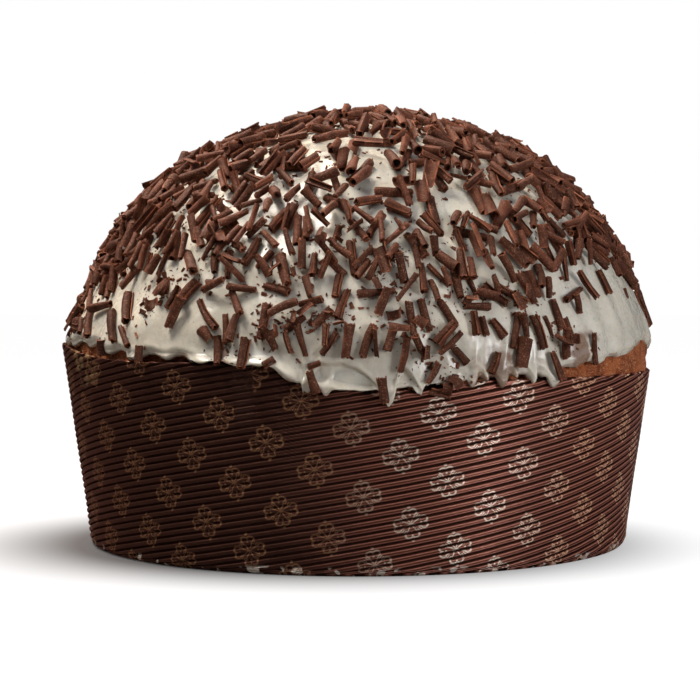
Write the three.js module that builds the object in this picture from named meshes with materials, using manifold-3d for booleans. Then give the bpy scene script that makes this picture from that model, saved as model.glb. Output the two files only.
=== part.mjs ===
// Low panettone in a baking case: a domed sweet loaf in a flared cup of fluted brown paper.
// The dome is coated with white-chocolate glaze that runs over the paper's rim in places,
// and chocolate curls stick to the glaze. Units are millimetres, +Z is up, and the origin
// is the centre of the case's underside. The front, where most of the glaze runs down, faces -Y.
import * as THREE from "three";
import { mergeVertices } from "three/addons/utils/BufferGeometryUtils.js";
import Module from "manifold-3d";

const wasm = await Module();
wasm.setup();

// Driving dimensions
const CASE_BASE_RADIUS = 95.9; // outside of the cup at the table
const CASE_FLARE = 0.142; // how far the wall leans out for each millimetre of height
const CASE_HEIGHT = 61.5; // rim of the cup where nothing pushes on it
const PAPER = 1.2; // thickness of the fluted paper
const CASE_CORNER = 2.2; // round fold between floor and wall
const DOME_CENTRE = 72; // height at which the loaf is widest
const LOAF_RADIUS = 98.6; // the loaf's dome as a half ellipse
const LOAF_RISE = 77.6;
const SHOULDER_SWELL = 3; // extra girth where the loaf bulges over the rim
const SHOULDER_SPREAD = 11;
const GLAZE = 2; // thickness of the glaze
const GAP = 0.3; // clearance between touching pieces
const SIDES = 60; // facets round the loaf, the cup and the glaze
const DOME_STEP = 11.25; // degrees between the rings of the dome

const CURL_COUNT = 222; // places for rolls that the rule spreads over the dome
const CURL_SHARE = 0.95;
const CURL_LENGTH = [8.5, 13]; // shortest and longest roll
const CURL_RADIUS = [1.35, 1.8];
const CURL_WALL = 0.7;
const CURL_SUNK = 0.5; // how deep a roll sits in the glaze
const CURL_LOWEST = 0.1; // share of the dome's height under which no rolls lie
// Where the rolls lie thicker or thinner: [angle, degrees from the top, spread, change of the chance].
const CURL_PATCHES = [
  [-50, 68, 9, -0.6], // bare glaze on the left
  [60, 70, 12, -0.4], // and on the right
  [-62, 50, 18, 0.3],
  [44, 42, 18, 0.3],
  [-150, 74, 22, -0.4],
  [140, 78, 18, -0.5],
];

// Low on the front the rolls are few, and each has its place:
// [angle, degrees from the top, heading, length, radius].
const FRONT_LEFT = -66;
const FRONT_RIGHT = 82;
const FRONT_TOP = 73;
const FRONT_CURLS = [
  [-61, 85, 33, 12.5, 1.5],
  [-51, 86, 30, 12, 1.45],
  [-48.5, 81.5, 32, 12, 1.8],
  [-51.5, 74.5, 0, 8.5, 1.3],
  [-58, 81.5, -73, 10, 1.5],
  [-46.5, 88, 48, 9.5, 1.3],
  [-33, 77.5, -37, 8.5, 1.8],
  [-34, 83, -24, 10.5, 1.6],
  [-28, 83, 41, 12.5, 1.3],
  [-24.5, 90.5, 10, 9, 1.4],
  [-23.5, 86, 10, 9.5, 1.3],
  [-22, 86, -3, 9, 1.3],
  [-19.5, 91, -3, 9.5, 1.55],
  [-16.5, 84.5, -5, 11.5, 1.55],
  [-22, 80.5, 34, 10.5, 1.3],
  [-21.5, 77, 87, 9, 1.3],
  [-27, 76.5, -75, 10, 1.3],
  [-15, 77, 73, 9, 1.3],
  [-3, 80.5, -17, 10, 1.4],
  [3, 78, -85, 11.5, 1.3],
  [-13, 82, -65, 9.5, 1.4],
  [-15, 88, 32, 8.5, 1.3],
  [-2, 88.5, -7, 10.5, 1.7],
  [1.5, 88.5, -21, 10.5, 1.4],
  [9, 84, 5, 11, 1.4],
  [11.5, 83, 12, 10, 1.4],
  [11.5, 74.5, -3, 10.5, 1.3],
  [15.5, 82.5, 28, 9, 1.3],
  [14.5, 87, -43, 8.5, 1.8],
  [18, 75.5, 4, 10.5, 1.3],
  [4, 97.5, 9, 8, 1.4],
  [21, 81, 90, 9, 1.3],
  [25, 78.5, 44, 9.5, 1.4],
  [28.5, 78.5, 59, 11, 1.3],
  [32, 77, 17, 11, 1.3],
  [28, 86.5, -20, 11.5, 1.3],
  [32.5, 87, 14, 11, 1.4],
  [38, 83, 8, 10, 1.4],
  [38.5, 89.5, 9, 9.5, 1.4],
  [43.5, 78.5, -67, 10, 1.3],
  [47, 76.5, 37, 11, 1.3],
  [54.5, 75.5, 6, 8.5, 1.3],
  [74, 74, 5, 8, 1.6],
];

const DEG = Math.PI / 180;

// A repeatable stream of numbers from 0 to 1.
function seeded(seed) {
  let state = seed;
  return () => {
    state = (state * 1664525 + 1013904223) % 4294967296;
    return state / 4294967296;
  };
}

const between = ([low, high], share) => low + (high - low) * share;

// Smooth step from 0 at a to 1 at b.
function ease(a, b, x) {
  const t = THREE.MathUtils.clamp((x - a) / (b - a), 0, 1);
  return t * t * (3 - 2 * t);
}

// A bump of height 1 at the angle centre, with round shoulders; angles in degrees, 0 at the front.
function bump(angle, centre, width) {
  const turn = THREE.MathUtils.euclideanModulo(angle - centre + 180, 360) - 180;
  return Math.exp(-((turn / width) ** 2));
}

// Degrees round the axis from the front, positive towards +X.
const angleOf = (x, y) => Math.atan2(x, -y) / DEG;

// A solid for joining and cutting, from any closed three.js geometry.
function solidFrom(geometry) {
  const bare = geometry.clone();
  bare.deleteAttribute("normal");
  bare.deleteAttribute("uv");
  const merged = mergeVertices(bare, 1e-4);
  return new wasm.Manifold(
    new wasm.Mesh({
      numProp: 3,
      vertProperties: merged.attributes.position.array,
      triVerts: new Uint32Array(merged.index.array),
    }),
  );
}

function geometryFrom(solid) {
  const mesh = solid.getMesh();
  const geometry = new THREE.BufferGeometry();
  geometry.setAttribute("position", new THREE.BufferAttribute(mesh.vertProperties, 3));
  geometry.setIndex(new THREE.BufferAttribute(mesh.triVerts, 1));
  return geometry;
}

// Turns a profile of [radius, height] pairs round +Z, then moves its vertices by shape(angle, radius, height).
function turned(profile, shape) {
  const points = profile.map(([radius, height]) => new THREE.Vector2(radius, height));
  const geometry = new THREE.LatheGeometry(points, SIDES);
  geometry.rotateX(Math.PI / 2);
  const position = geometry.attributes.position;
  for (let i = 0; i < position.count; i++) {
    const x = position.getX(i);
    const y = position.getY(i);
    const radius = Math.hypot(x, y);
    if (radius < 1e-3) continue;
    const [newRadius, newHeight] = shape(angleOf(x, y), radius, position.getZ(i));
    position.setXYZ(i, (x / radius) * newRadius, (y / radius) * newRadius, newHeight);
  }
  return geometry;
}

// Paper case: one strip of fluted paper glued round a paper disc. Its top edge isn't level.
const caseRadius = (height) => CASE_BASE_RADIUS + CASE_FLARE * height;

function rimHeight(angle) {
  const leftStands = 4.6 * ease(-170, -95, angle) * (1 - ease(-15, -9, angle));
  const leftTip = 4.5 * bump(angle, -84, 16);
  const frontSags = -3.4 * bump(angle, 4, 13);
  const backWaves = 1.3 * bump(angle, 140, 30) - 1 * bump(angle, -160, 20);
  return CASE_HEIGHT + leftStands + leftTip + frontSags + backWaves;
}

function paperCup(grow = 0) {
  const out = grow;
  const inner = (height) => caseRadius(height) - PAPER - grow;
  const profile = [
    [0, 0],
    [CASE_BASE_RADIUS - CASE_CORNER + out, 0],
    [CASE_BASE_RADIUS - CASE_CORNER * 0.3 + out, CASE_CORNER * 0.3],
    [caseRadius(CASE_CORNER) + out, CASE_CORNER],
    [caseRadius(CASE_HEIGHT) + out, CASE_HEIGHT + grow],
    [inner(CASE_HEIGHT), CASE_HEIGHT + grow],
    [inner(PAPER + CASE_CORNER), PAPER + CASE_CORNER],
    [inner(PAPER) - CASE_CORNER, PAPER],
    [0, PAPER],
  ];
  return turned(profile, (angle, radius, height) => {
    const lift = height > CASE_HEIGHT / 2 ? rimHeight(angle) - CASE_HEIGHT : 0;
    return [radius + lift * CASE_FLARE, height + lift];
  });
}

// Loaf: fills the cup, bulges over the rim and rises in an uneven dome that leans to the right.
function domeLumps(angle, steep) {
  const round = angle * DEG;
  const down = steep * DEG;
  const wide = 0.9 * Math.sin(2 * round + 1.1) * Math.sin(down) ** 2;
  const small = 0.6 * Math.sin(5 * round + 3 * down) * Math.sin(2 * down);
  const lean = 1.6 * Math.sin(round) * Math.sin(down);
  return wide + small + lean;
}

// Height and girth of the dome at steep degrees from its top, for a surface that lies over the loaf's.
function domePoint(steep, over) {
  const height = DOME_CENTRE + (LOAF_RISE + over) * Math.cos(steep * DEG);
  const swell = SHOULDER_SWELL * Math.exp(-(((height - DOME_CENTRE) / SHOULDER_SPREAD) ** 2));
  return [(LOAF_RADIUS + over) * Math.sin(steep * DEG) + swell, height];
}

function domeRings(over) {
  const rings = [];
  for (let steep = 90; steep > 0; steep -= DOME_STEP) rings.push(domePoint(steep, over));
  return rings;
}

const SHOULDER = LOAF_RADIUS + SHOULDER_SWELL;
const inCup = (height) => caseRadius(height) - PAPER - GAP;
const SHOULDER_FOOT = (SHOULDER + PAPER + GAP - CASE_BASE_RADIUS) / CASE_FLARE;

function lumpy(angle, radius, height) {
  const above = height - DOME_CENTRE;
  if (above < -0.01) return [radius, height];
  const steep = Math.atan2(radius / LOAF_RADIUS, above / LOAF_RISE) / DEG;
  const fades = 1 - 0.75 * ease(70, 90, steep);
  const lump = domeLumps(angle, steep) * fades;
  return [radius + lump * Math.sin(steep * DEG), height + lump * Math.cos(steep * DEG) * 0.6];
}

function loaf(grow = 0) {
  const floor = PAPER + GAP;
  const profile = [
    [0, floor],
    [inCup(floor) - CASE_CORNER - GAP, floor],
    [inCup(floor + CASE_CORNER), floor + CASE_CORNER + GAP],
    [SHOULDER + grow, SHOULDER_FOOT - grow],
    ...domeRings(grow),
    [0, DOME_CENTRE + LOAF_RISE + grow],
  ];
  return turned(profile, lumpy);
}

// Glaze: a skin over the dome. It stops unevenly above the rim, and hangs over the paper in front.
function glazeEdge(angle) {
  const runs = 0.5 * Math.sin(9 * angle * DEG + 0.4) + 0.4 * Math.sin(17 * angle * DEG);
  const low = -6.8 * bump(angle, 2, 17) - 2.6 * bump(angle, 32, 12);
  const high = 5.4 * bump(angle, -66, 26) + 6.5 * bump(angle, 72, 14) + 2.4 * bump(angle, 165, 30);
  return Math.max(66 + runs + low + high, rimHeight(angle) + 2 * GAP);
}

const glazeSwell = (angle) => 1.2 * bump(angle, 0, 15);

function glazeSkin() {
  const inner = domeRings(GAP).reverse();
  const outer = domeRings(GLAZE + GAP);
  const edge = DOME_CENTRE - 6;
  const profile = [
    [0, DOME_CENTRE + LOAF_RISE + GAP],
    ...inner,
    [SHOULDER + GAP, edge],
    [SHOULDER + GAP + GLAZE, edge],
    ...outer,
    [0, DOME_CENTRE + LOAF_RISE + GAP + GLAZE],
  ];
  const middle = SHOULDER + GAP + GLAZE / 2;
  return turned(profile, (angle, radius, height) => {
    if (height > DOME_CENTRE - 0.01) return lumpy(angle, radius, height);
    const swell = radius > middle ? glazeSwell(angle) : 0;
    return [radius + swell, glazeEdge(angle) + (radius > middle ? 0.5 : 0)];
  });
}

// Runs of glaze that hang over the rim: [angle, width, height of the tip]. The first ones are the front's.
const FRONT_RUNS = [
  [-12.5, 6.5, 59.2],
  [-8.6, 5.4, 57.6],
  [-5.4, 4.6, 57.2],
  [3.4, 6, 54.6],
  [6.6, 4.6, 55.6],
  [10.8, 6, 57.6],
  [19.5, 5.4, 58.4],
  [34.4, 5.4, 58.8],
];
const OTHER_RUNS = 7;

function glazeRuns() {
  const random = seeded(11);
  const runs = FRONT_RUNS.map((run) => [...run]);
  for (let i = 0; i < OTHER_RUNS; i++) {
    const angle = 105 + (170 * (i + 0.7 * random())) / OTHER_RUNS;
    const turn = angle > 180 ? angle - 360 : angle;
    runs.push([turn, between([3.4, 5.6], random()), rimHeight(turn) - between([-1.5, 4], random())]);
  }
  return runs;
}

// One run as a flattened drop, wide where it leaves the skin and narrow at its tip.
function glazeRun([angle, width, tip]) {
  const top = glazeEdge(angle) + 5;
  const length = top - tip;
  const half = width / 2;
  const profile = [
    [0, 0],
    [half * 0.42, length * 0.06],
    [half * 0.56, length * 0.3],
    [half, length * 0.86],
    [0, length],
  ].map(([radius, height]) => new THREE.Vector2(radius, height));
  const drop = new THREE.LatheGeometry(profile, 8);
  drop.rotateX(Math.PI / 2);
  drop.scale(1, 3.4 / width, 1);
  drop.translate(0, -(caseRadius(tip) + 1.35), tip);
  drop.rotateZ(angle * DEG);
  return solidFrom(drop);
}

// Chocolate curls: shavings rolled into open rolls, in a seeded spread that follows the dome.
function curl(length, radius) {
  const [slit, steps] = [70 * DEG, 3];
  const roll = new THREE.Shape();
  for (let i = 0; i <= steps; i++) {
    const turn = slit / 2 + ((2 * Math.PI - slit) * i) / steps;
    roll[i ? "lineTo" : "moveTo"](radius * Math.cos(turn), radius * Math.sin(turn));
  }
  for (let i = steps; i >= 0; i--) {
    const turn = slit / 2 + ((2 * Math.PI - slit) * i) / steps;
    const hollow = radius - CURL_WALL;
    roll.lineTo(hollow * Math.cos(turn), hollow * Math.sin(turn));
  }
  const geometry = new THREE.ExtrudeGeometry(roll, { depth: length, steps: 1, bevelEnabled: false });
  geometry.translate(0, 0, -length / 2);
  return geometry;
}

// Where a roll rests on the glaze: a point and the way out of it. Past 90 degrees the glaze goes straight down.
const DROP_PER_DEGREE = 1.72;

function glazeSurface(angle, steep) {
  const place = (a, s) => {
    const [radius, height] = domePoint(Math.min(s, 90), GLAZE + GAP);
    const [r, z] = lumpy(a, radius, height);
    const drop = Math.max(s - 90, 0) * DROP_PER_DEGREE;
    return new THREE.Vector3(r * Math.sin(a * DEG), -r * Math.cos(a * DEG), z - drop);
  };
  const here = place(angle, steep);
  const down = place(angle, steep + 0.5).sub(place(angle, steep - 0.5)).normalize();
  const across = place(angle + 0.5, steep).sub(place(angle - 0.5, steep)).normalize();
  return { here, down, across, out: down.clone().cross(across).normalize() };
}

// The chance of a roll at a place: nearly sure on top, falling towards the rim.
function curlChance(angle, steep) {
  let chance = 1 - 0.55 * ease(48, 84, steep);
  for (const [centre, height, spread, change] of CURL_PATCHES) {
    const turn = THREE.MathUtils.euclideanModulo(angle - centre + 180, 360) - 180;
    const away = Math.hypot(turn * Math.sin(steep * DEG), steep - height);
    chance += change * Math.exp(-((away / spread) ** 2));
  }
  return chance;
}

const inFront = (angle, steep) => steep > FRONT_TOP && angle > FRONT_LEFT && angle < FRONT_RIGHT;

// A roll on the glaze, lying along the slope's fall line turned by its heading.
function restingCurl([angle, steep, heading, length, radius], roll) {
  const { here, down, out } = glazeSurface(angle, steep);
  const along = down.clone().applyAxisAngle(out, heading * DEG);
  const side = along.clone().cross(out);
  const turn = new THREE.Matrix4().makeBasis(out, side, along);
  const centre = here.addScaledVector(out, radius - CURL_SUNK);
  return solidFrom(curl(length, radius).rotateZ(roll).applyMatrix4(turn.setPosition(centre)));
}

function placedCurls() {
  const random = seeded(5);
  const golden = 180 * (3 - Math.sqrt(5));
  const curls = FRONT_CURLS.map((place) => restingCurl(place, random() * 2 * Math.PI));
  for (let i = 0; i < CURL_COUNT; i++) {
    const share = (i + 0.5) / CURL_COUNT;
    const steep = Math.acos(1 - share * (1 - CURL_LOWEST)) / DEG;
    const angle = THREE.MathUtils.euclideanModulo(i * golden, 360) - 180;
    if (inFront(angle, steep) || random() > curlChance(angle, steep) * CURL_SHARE) continue;
    const length = between(CURL_LENGTH, 1 - random() ** 1.5);
    const radius = between(CURL_RADIUS, random());
    const heading = (random() < 0.65 ? 70 : 180) * (random() - 0.5);
    curls.push(restingCurl([angle, steep, heading, length, radius], random() * 2 * Math.PI));
  }
  return curls;
}

// True if every edge joins two triangles once vertices closer than a micron are one.
function closed(geometry) {
  const index = mergeVertices(geometry, 1e-3).index.array;
  const seen = new Map();
  for (let i = 0; i < index.length; i += 3) {
    const corners = [index[i], index[i + 1], index[i + 2]];
    if (new Set(corners).size < 3) continue;
    corners.forEach((a, k) => {
      const b = corners[(k + 1) % 3];
      const edge = a < b ? `${a} ${b}` : `${b} ${a}`;
      seen.set(edge, (seen.get(edge) ?? 0) + 1);
    });
  }
  return [...seen.values()].every((count) => count === 2);
}

// The largest body of a solid: scraps that came loose and sealed hollows are left behind.
const largest = (solid) => solid.decompose().sort((a, b) => b.volume() - a.volume())[0];

// The glaze with its runs and curls as one piece, clear of the paper and the loaf.
// A roll that would meet the ones before it in a sliver too thin to keep is left out.
function glazeWithCurls() {
  const clearance = solidFrom(paperCup(GAP)).add(solidFrom(loaf(GAP * 0.9)));
  let joined = solidFrom(glazeSkin());
  for (const run of glazeRuns()) joined = joined.add(glazeRun(run));
  joined = largest(joined.subtract(clearance));
  for (const roll of placedCurls()) {
    const more = largest(joined.add(roll.subtract(clearance)));
    if (closed(geometryFrom(more))) joined = more;
  }
  return geometryFrom(joined);
}

const panettone = new THREE.Group();

function add(name, geometry, color, roughness) {
  const mesh = new THREE.Mesh(geometry, new THREE.MeshStandardMaterial({ color, roughness, metalness: 0 }));
  mesh.name = name;
  panettone.add(mesh);
}

add("paper_case", paperCup(), 0x3a2017, 0.5);
add("loaf", loaf(), 0x8a4a22, 0.85);
add("glaze", glazeWithCurls(), 0xd6cdb4, 0.35);

export default panettone;
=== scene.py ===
"""A low domed sweet loaf in a fluted brown paper case, with white glaze and chocolate curls.

Metres, +Z up, the front faces -Y. Angles round the axis are degrees from the front, positive to +X.
"""

import math
import random

import bmesh
import bpy
import numpy as np
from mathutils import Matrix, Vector, noise
from mathutils.bvhtree import BVHTree


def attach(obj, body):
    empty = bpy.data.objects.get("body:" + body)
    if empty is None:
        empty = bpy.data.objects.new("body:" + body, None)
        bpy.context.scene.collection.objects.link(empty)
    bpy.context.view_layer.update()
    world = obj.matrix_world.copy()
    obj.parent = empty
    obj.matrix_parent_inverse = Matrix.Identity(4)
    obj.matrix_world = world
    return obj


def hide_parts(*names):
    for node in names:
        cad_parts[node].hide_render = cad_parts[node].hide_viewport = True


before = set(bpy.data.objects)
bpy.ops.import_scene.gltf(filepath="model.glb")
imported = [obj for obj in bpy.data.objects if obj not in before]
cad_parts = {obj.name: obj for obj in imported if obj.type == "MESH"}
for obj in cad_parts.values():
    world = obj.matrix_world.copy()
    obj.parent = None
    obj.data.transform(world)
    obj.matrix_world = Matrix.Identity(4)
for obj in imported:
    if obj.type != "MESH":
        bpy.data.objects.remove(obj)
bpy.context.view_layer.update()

scene = bpy.context.scene
MM = 0.001


# Paper case: a strip of fluted brown paper glued round a disc. The flutes climb to the right round
# the wall like a screw thread, the strip's top edge is uneven, and small golden flowers are printed on it.
CASE_BASE = 95.9
CASE_FLARE = 0.142
CASE_HEIGHT = 61.5
PAPER = 1.2
FLUTE_DEPTH = 1.0
FLUTES_PER_TURN = 50
FLUTE_RISE = 2.2224
FLUTE_START = 0.5
COLUMNS = 360


def ease(a, b, x):
    t = np.clip((x - a) / (b - a), 0, 1)
    return t * t * (3 - 2 * t)


def bell(away, width):
    return np.exp(-((away / width) ** 2))


def bump(angle, centre, width):
    return bell((angle - centre + 180) % 360 - 180, width)


def wall_radius(height):
    return CASE_BASE + CASE_FLARE * height


def rim_height(angle):
    left_stands = 5.0 * ease(-170, -95, angle) * (1 - ease(-15, -9, angle))
    left_tip = 4.3 * bump(angle, -80, 18)
    front_sags = -3.4 * bump(angle, 4, 13)
    back_waves = 1.3 * bump(angle, 140, 30) - 1.0 * bump(angle, -160, 20)
    return CASE_HEIGHT + left_stands + left_tip + front_sags + back_waves


def wrapped_sheet(name, columns, rows):
    """A grid that is wrapped round the axis: its u runs round, its v from the first row to the last."""
    bm = bmesh.new()
    bm.loops.layers.uv.new("print")
    bmesh.ops.create_grid(bm, x_segments=columns, y_segments=rows, size=0.5, calc_uvs=True)
    mesh = bpy.data.meshes.new(name)
    bm.to_mesh(mesh)
    bm.free()
    co = np.empty(len(mesh.vertices) * 3)
    mesh.vertices.foreach_get("co", co)
    co = co.reshape(-1, 3) + 0.5
    return mesh, co[:, 0], np.rint(co[:, 1] * rows).astype(int)


def close_sheet(mesh, angle, radius, height):
    """Moves the sheet's vertices into place, in millimetres, joins its seam and turns its faces out."""
    turn = np.radians(angle)
    co = np.stack([radius * np.sin(turn), -radius * np.cos(turn), height], 1) * MM
    mesh.vertices.foreach_set("co", co.ravel())
    bm = bmesh.new()
    bm.from_mesh(mesh)
    bmesh.ops.remove_doubles(bm, verts=bm.verts, dist=2e-6)
    bmesh.ops.recalc_face_normals(bm, faces=bm.faces)
    for face in bm.faces:
        face.smooth = True
    bm.to_mesh(mesh)
    bm.free()
    piece = bpy.data.objects.new(mesh.name, mesh)
    scene.collection.objects.link(piece)
    return piece


def lay_uv(mesh, u_of, v_of):
    """Writes the sheet's own map from two functions of its first map's u and v."""
    layer = mesh.uv_layers["print"]
    uv = np.empty(len(layer.data) * 2)
    layer.data.foreach_get("uv", uv)
    uv = uv.reshape(-1, 2)
    uv = np.stack([u_of(uv[:, 0], uv[:, 1]), v_of(uv[:, 0], uv[:, 1])], 1)
    layer.data.foreach_set("uv", uv.ravel().astype(np.float32))


def write_value(mesh, name, values):
    made = mesh.attributes.new(name, "FLOAT", "POINT")
    made.data.foreach_set("value", values.astype(np.float32))


def grain(points, size, seed):
    """Soft noise from -1 to 1 at points in millimetres, with lumps of the given size."""
    shift = Vector((seed * 17.3, seed * 5.1, seed * 9.7))
    return np.array([noise.noise(Vector(p) / size + shift) for p in points])


WALL_ROWS = 228
FLOOR_ROWS, CORNER_ROWS, INNER_ROWS = 3, 3, 26
CASE_ROWS = FLOOR_ROWS + CORNER_ROWS + WALL_ROWS + 3 + INNER_ROWS + 2
WALL_START = FLOOR_ROWS + CORNER_ROWS
WALL_END = WALL_START + WALL_ROWS
CORNER = 2.0


def case_row_height(angle, row):
    """Height of each wall row, from the fold at the table to the uneven rim."""
    rim = rim_height(angle)
    share = np.clip((row - WALL_START) / WALL_ROWS, 0, 1)
    return CORNER + (rim - CORNER) * share


mesh, u, row = wrapped_sheet("paper_case_fluted", COLUMNS, CASE_ROWS)
angle = u * 360 - 180
ring = np.stack([np.sin(np.radians(angle)), np.cos(np.radians(angle)), np.zeros_like(angle)], 1)
rim_fray = 0.35 * grain(ring * 105, 2.2, 1) + 0.3 * grain(ring * 105, 9, 2)
height = case_row_height(angle, row)
height = height + rim_fray * ease(0.94, 1, (height - CORNER) / (rim_height(angle) - CORNER))
phase = height / FLUTE_RISE - FLUTES_PER_TURN * u + FLUTE_START
stain = ease(-22.6, -21.9, angle) * (1 - ease(-18.8, -17.9, angle)) * ease(44, 49, height)
flute = (0.5 + 0.5 * np.cos(2 * np.pi * phase)) ** 0.3 * (1 - 0.8 * stain) + 0.75 * stain
sway_points = np.stack([ring[:, 0] * 100, ring[:, 1] * 100, height], 1)
sway = 0.45 * grain(sway_points, 34, 3)
dents = 0.35 * grain(sway_points, 9, 4) * ease(0, 12, 16 - height)
crumple = bump(angle, -63, 6) * ease(48, 64, height)
seam = 0.3 * ease(5.3, 5.9, angle) * (1 - ease(20, 60, angle)) + 0.35 * stain
creases = 1.1 * crumple * grain(sway_points, 3.2, 5)
radius = wall_radius(height) + sway + dents + seam + creases
outer = radius - FLUTE_DEPTH * (1 - flute) - 0.1

section = np.zeros_like(u)
z = height.copy()
floor_row = row < FLOOR_ROWS
section[floor_row] = (CASE_BASE - CORNER) * row[floor_row] / FLOOR_ROWS
z[floor_row] = 0
fold = (row >= FLOOR_ROWS) & (row < WALL_START)
arc = (row[fold] - FLOOR_ROWS) / CORNER_ROWS * np.pi / 2
section[fold] = CASE_BASE - CORNER + CORNER * np.sin(arc)
z[fold] = CORNER * (1 - np.cos(arc))
wall = (row >= WALL_START) & (row <= WALL_END)
section[wall] = outer[wall]
lip = (row > WALL_END) & (row <= WALL_END + 3)
across = (row[lip] - WALL_END) / 3
section[lip] = outer[lip] - PAPER * across
z[lip] = height[lip] + 0.35 * np.sin(across * np.pi)
inside = (row > WALL_END + 3) & (row <= WALL_END + 3 + INNER_ROWS)
down = (row[inside] - WALL_END - 3) / INNER_ROWS
z[inside] = rim_height(angle[inside]) * (1 - down) + (PAPER + CORNER) * down
inner_phase = z[inside] / FLUTE_RISE - FLUTES_PER_TURN * u[inside] + FLUTE_START
inner_sway = (sway + seam)[inside] * (1 - ease(0, 0.1, down))
section[inside] = wall_radius(z[inside]) + inner_sway - PAPER - 0.25
section[inside] -= FLUTE_DEPTH * (0.5 - 0.5 * np.cos(2 * np.pi * inner_phase)) * (1 - ease(0, 0.2, down))
floor_in = row > WALL_END + 3 + INNER_ROWS
section[floor_in] = (CASE_BASE - PAPER - CORNER) * (CASE_ROWS - row[floor_in]) / 2
z[floor_in] = PAPER

# The map holds turns round the wall and millimetres of height, so the print runs on over the joint.
UNPRINTED = 200


def print_height(across, up):
    map_row = np.rint(up * CASE_ROWS).astype(int)
    on_wall = case_row_height(across * 360 - 180, map_row)
    return np.where(map_row < WALL_START, 0, np.where(map_row <= WALL_END + 1, on_wall, UNPRINTED))


lay_uv(mesh, lambda across, up: across - 0.5, print_height)
case = close_sheet(mesh, angle, section, z)


def material(name):
    """A new material, its node tree, its shader and the place on the piece as a socket."""
    made = bpy.data.materials.new(name)
    made.use_nodes = True
    tree = made.node_tree
    place = tree.nodes.new("ShaderNodeTexCoord").outputs["Object"]
    return made, tree, tree.nodes["Principled BSDF"], place


def fill(socket, value):
    """Links a socket to another one, or sets its value."""
    if isinstance(value, bpy.types.NodeSocket):
        socket.id_data.links.new(value, socket)
    else:
        socket.default_value = value


def dress(shader, **looks):
    """Fills the shader's inputs, which are named with underscores here."""
    for key, value in looks.items():
        fill(shader.inputs[key.replace("_", " ")], value)


def node(tree, kind, *inputs, **settings):
    """Adds a node, sets its properties, and fills its inputs with values or links in order."""
    made = tree.nodes.new(kind)
    for key, value in settings.items():
        setattr(made, key, value)
    for socket, value in zip(made.inputs, inputs):
        if value is not None:
            fill(socket, value)
    return made


def sums(operation, *inputs):
    tree = next(value.id_data for value in inputs if isinstance(value, bpy.types.NodeSocket))
    return node(tree, "ShaderNodeMath", *inputs, operation=operation).outputs[0]


def chain(operation, first, *others):
    for other in others:
        first = sums(operation, first, other)
    return first


def times(*factors):
    return chain("MULTIPLY", *factors)


def plus(*parts):
    return chain("ADD", *parts)


def minus(*parts):
    return chain("SUBTRACT", *parts)


def greatest(*values):
    return chain("MAXIMUM", *values)


def between(value, start, end, to_start=0.0, to_end=1.0):
    """Maps a value smoothly from start..end to to_start..to_end."""
    made = node(value.id_data, "ShaderNodeMapRange", value, start, end, to_start, to_end)
    made.interpolation_type = "SMOOTHSTEP"
    return made.outputs["Result"]


def band(value, start, full, fade, end):
    """Rises from 0 at start to 1 at full, and falls from fade to 0 again at end."""
    return times(between(value, start, full), between(value, fade, end, 1.0, 0.0))


def tint(factor, first, second):
    """Mixes two colours by a factor."""
    made = node(factor.id_data, "ShaderNodeMix", factor, data_type="RGBA")
    for socket, colour in zip(made.inputs[6:8], (first, second)):
        fill(socket, (*colour, 1) if isinstance(colour, tuple) else colour)
    return made.outputs[2]


def noise_value(vector, scale, detail, rough):
    made = node(vector.id_data, "ShaderNodeTexNoise", vector)
    made.inputs["Scale"].default_value = scale
    made.inputs["Detail"].default_value = detail
    made.inputs["Roughness"].default_value = rough
    return made.outputs["Fac"]


def written_value(tree, name):
    """Reads a value that write_value stored at the vertices."""
    made = tree.nodes.new("ShaderNodeAttribute")
    made.attribute_name = name
    return made.outputs["Fac"]


def relief(height, strength, depth):
    """A bump whose height is depth metres from 0 to 1."""
    made = height.id_data.nodes.new("ShaderNodeBump")
    for key, value in (("Strength", strength), ("Distance", depth), ("Height", height)):
        fill(made.inputs[key], value)
    return made.outputs[0]


# The print's lattice and flower, in millimetres: flowers stand in slanting rows, every other place free.
PRINT_GIRTH = 2 * math.pi * 100.3
PRINT_SLANT = math.radians(10)
PRINT_SHIFT = 2.4
PRINT_MIDDLE = 47.0
PLACES_ROUND = 46
ROWS_CLIMBED = 10
FLOWER_WIDER = 1.18
LOBE_OUT, LOBE_ASIDE, LOBE_RADIUS, LOBE_LINE = 4.2, 1.08, 1.18, 0.38
PETAL_SIDE_SLOPE, PETAL_SIDE_LINE = 0.55, 0.26
RAY_LINE, RAY_START, RAY_END = 0.34, 4.0, 5.9
HEART_DOT, HEART_DOT_OUT = 0.42, 3.3
LONE_DOT, LONE_DOT_OUT = 0.6, 6.35


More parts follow.
